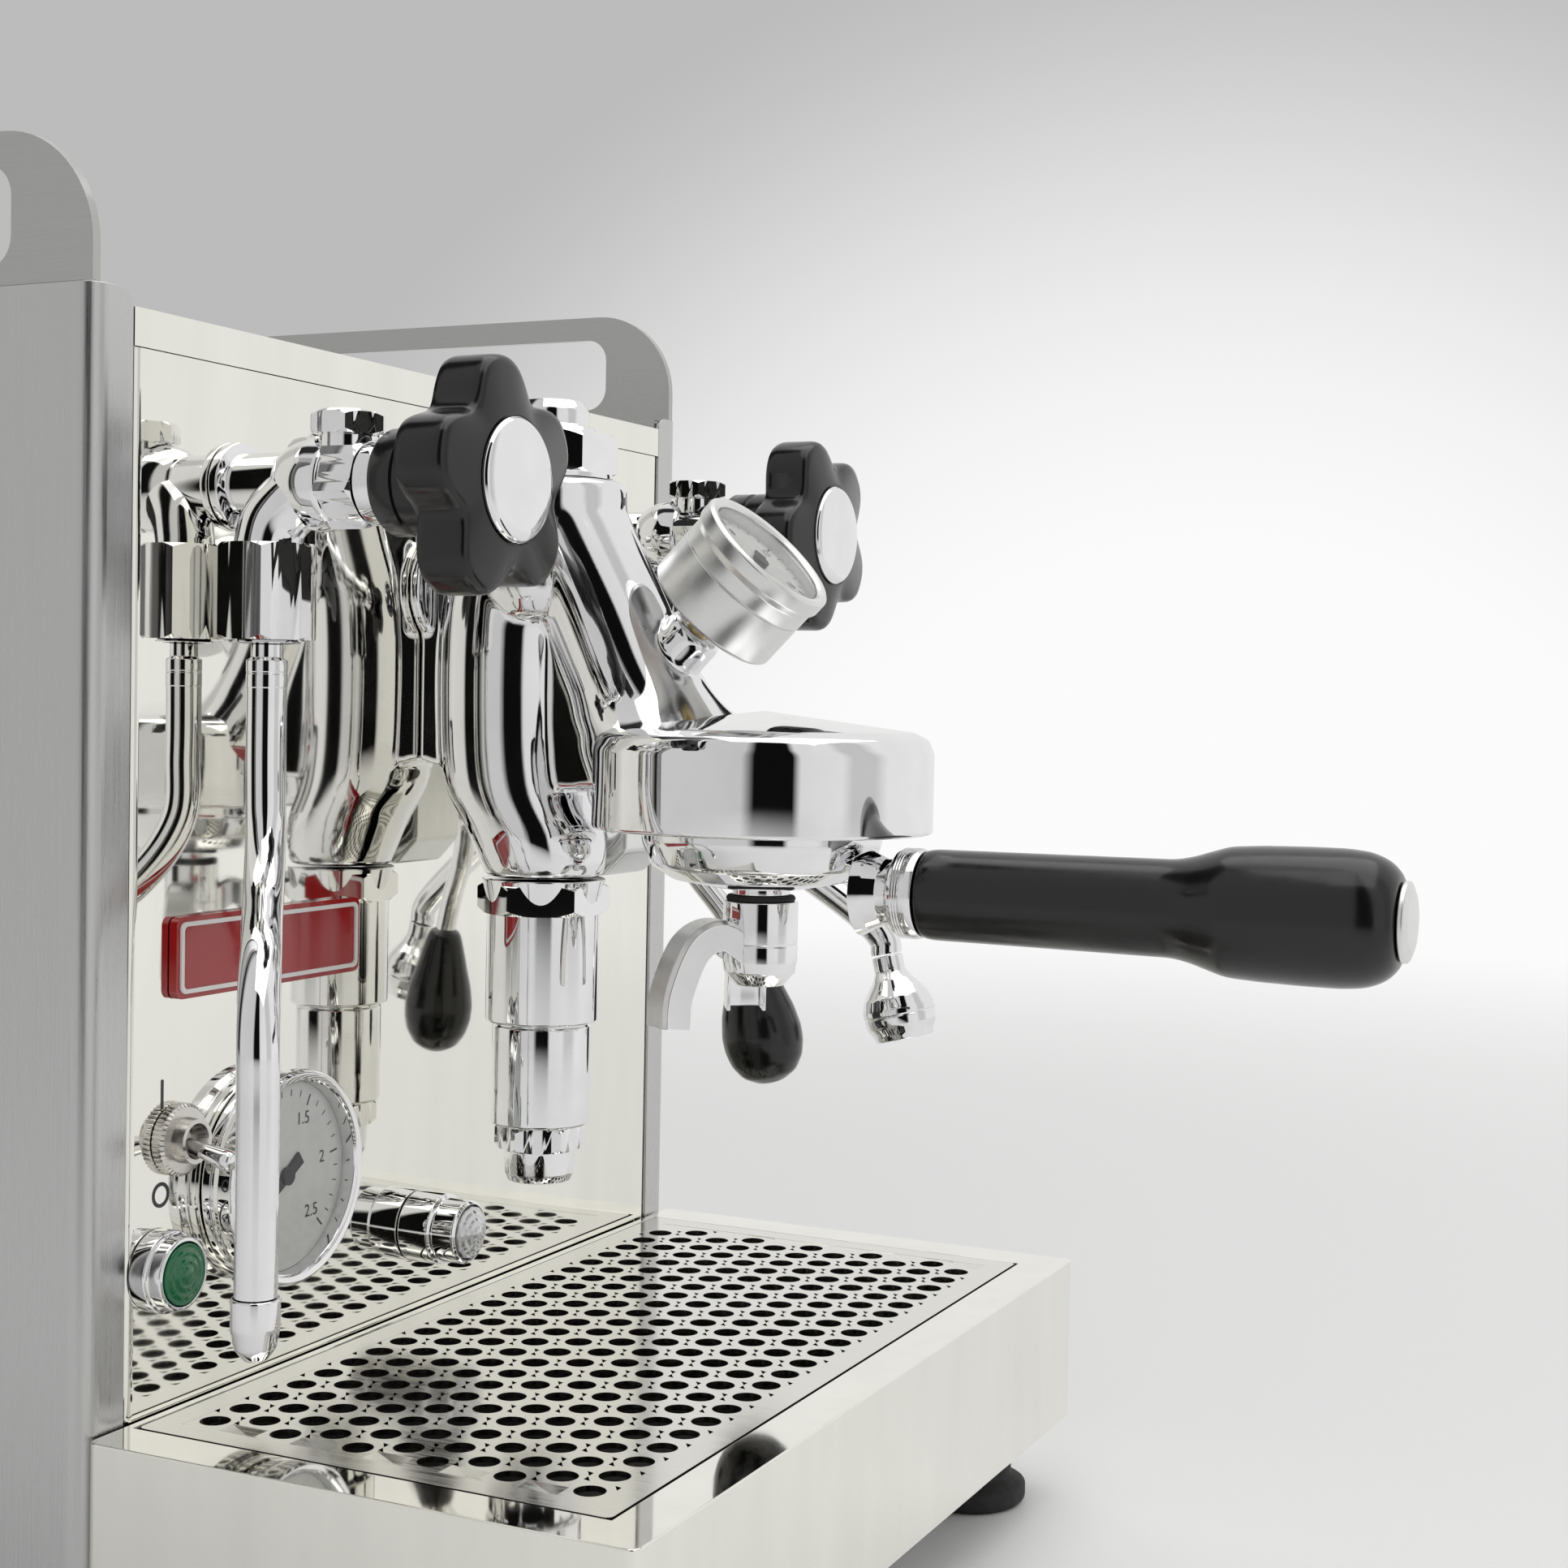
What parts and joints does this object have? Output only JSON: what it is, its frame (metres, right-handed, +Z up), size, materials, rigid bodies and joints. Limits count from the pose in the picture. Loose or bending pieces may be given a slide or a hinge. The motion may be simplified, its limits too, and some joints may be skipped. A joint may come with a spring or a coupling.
{
  "type": "espresso machine",
  "caption": "Lever-group espresso machine with a locked portafilter, rotary steam and hot-water taps, pressure gauges, drip tray and cup rail.",
  "frame": {"origin": "centre of the bounding box on the counter: mid width, mid depth from the handle's end to the inlet flange, at the soles of the feet", "axes": "+X to the right of someone facing the machine, +Y to its back, +Z up"},
  "size_m": [0.315, 0.5882, 0.4147],
  "materials": {
    "brushed_steel": "vertical brushed stainless sheet",
    "mirror_steel": "mirror polished stainless sheet",
    "chrome": "bright chrome plate over brass",
    "satin_steel": "satin, machined",
    "brass": "bare brass and copper, unpolished",
    "copper": "bare copper tube",
    "black_plastic": "black moulded resin, satin gloss",
    "black_rubber": "matt black rubber",
    "red_enamel": "glossy red enamel with a white border",
    "needle_black": "matt black",
    "clear_glass": "clear, polished",
    "green_lens": "green moulded lens",
    "tank_plastic": "translucent moulded tank",
    "grey_casing": "grey moulded box"
  },
  "bodies": {
    "machine": {"base_frame": "brushed_steel", "left_side_panel": "brushed_steel", "right_side_panel": "brushed_steel", "front_panel": "mirror_steel", "rear_panel": "brushed_steel", "cup_tray": "mirror_steel", "cup_rail": "brushed_steel", "front_left_foot": "black_rubber", "front_right_foot": "black_rubber", "rear_left_foot": "black_rubber", "rear_right_foot": "black_rubber", "badge": "red_enamel", "group_body": "chrome", "group_top_nut": "chrome", "preinfusion_chamber": "chrome", "discharge_nut": "chrome", "group_gasket": "black_rubber", "shower_screen": "satin_steel", "lever_hub": "satin_steel", "boiler_gauge_case": "chrome", "boiler_gauge_lens": "clear_glass", "group_gauge_case": "chrome", "group_gauge_lens": "clear_glass", "steam_valve": "chrome", "steam_bonnet": "chrome", "steam_union_nut": "chrome", "hot_water_valve": "chrome", "hot_water_bonnet": "chrome", "hot_water_union_nut": "chrome", "power_switch_nut": "chrome", "power_lamp": "green_lens", "heating_lamp": "clear_glass", "water_tank": "tank_plastic", "boiler": "brass", "upper_circulation_pipe": "copper", "lower_circulation_pipe": "copper", "vibration_pump": "brass", "control_box": "grey_casing", "inlet_socket": "black_plastic"},
    "steam_knob": {"steam_knob": "black_plastic", "steam_knob_cap": "chrome"},
    "hot_water_knob": {"hot_water_knob": "black_plastic", "hot_water_knob_cap": "chrome"},
    "steam_wand": {"steam_wand": "chrome", "steam_tip": "chrome"},
    "hot_water_wand": {"hot_water_wand": "chrome", "hot_water_tip": "chrome"},
    "brew_lever": {"brew_lever": "chrome", "brew_lever_knob": "black_plastic"},
    "portafilter": {"portafilter_body": "chrome", "filter_basket": "satin_steel", "double_spout": "chrome", "portafilter_handle": "black_plastic", "portafilter_end_cap": "chrome"},
    "drip_tray": {"drip_tray": "mirror_steel"},
    "drip_grate": {"drip_grate": "satin_steel"},
    "power_switch_lever": {"power_switch_lever": "chrome"},
    "tank_lid": {"tank_lid": "mirror_steel"},
    "boiler_gauge_needle": {"boiler_gauge_needle": "needle_black"},
    "group_gauge_needle": {"group_gauge_needle": "needle_black"}
  },
  "joints": [
    {"name": "steam_knob_turn", "type": "hinge", "parent": "machine", "child": "steam_knob", "pos_m": [-0.1008, -0.07215, 0.328], "axis": [0, -1, 0], "range_deg": [0, 540]},
    {"name": "hot_water_knob_turn", "type": "hinge", "parent": "machine", "child": "hot_water_knob", "pos_m": [0.1008, -0.07215, 0.328], "axis": [0, -1, 0], "range_deg": [0, 540]},
    {"name": "steam_wand_swivel", "type": "hinge", "parent": "machine", "child": "steam_wand", "pos_m": [-0.1058, -0.00745, 0.3], "axis": [0, 0, 1], "range_deg": [-35, 90]},
    {"name": "hot_water_wand_swivel", "type": "hinge", "parent": "machine", "child": "hot_water_wand", "pos_m": [0.1058, -0.00745, 0.3], "axis": [0, 0, 1], "range_deg": [0, 65]},
    {"name": "brew_lever_lift", "type": "hinge", "parent": "machine", "child": "brew_lever", "pos_m": [0.06, -0.03165, 0.236], "axis": [-1, 0, 0], "range_deg": [0, 70]},
    {"name": "portafilter_twist", "type": "hinge", "parent": "machine", "child": "portafilter", "pos_m": [0, -0.10565, 0.23], "axis": [0, 0, -1], "range_deg": [0, 45]},
    {"name": "drip_tray_slide", "type": "slide", "parent": "machine", "child": "drip_tray", "axis": [0, -1, 0], "range_m": [0, 0.15]},
    {"name": "drip_grate_lift", "type": "slide", "parent": "drip_tray", "child": "drip_grate", "axis": [0, 0, 1], "range_m": [0, 0.012]},
    {"name": "power_switch_throw", "type": "hinge", "parent": "machine", "child": "power_switch_lever", "pos_m": [-0.1235, 0.00785, 0.1524], "axis": [-1, 0, 0], "range_deg": [0, 26]},
    {"name": "tank_lid_lift", "type": "slide", "parent": "machine", "child": "tank_lid", "axis": [0, 0, 1], "range_m": [0, 0.06]},
    {"name": "boiler_gauge_needle_turn", "type": "hinge", "parent": "machine", "child": "boiler_gauge_needle", "pos_m": [-0.084, -0.00015, 0.136], "axis": [0, 1, 0], "range_deg": [0, 250], "stiffness_Nm_per_rad": 0.0002},
    {"name": "group_gauge_needle_turn", "type": "hinge", "parent": "machine", "child": "group_gauge_needle", "pos_m": [0, -0.08755, 0.2974], "axis": [0, 0.7071, -0.7071], "range_deg": [0, 250], "stiffness_Nm_per_rad": 0.0002}
  ]
}
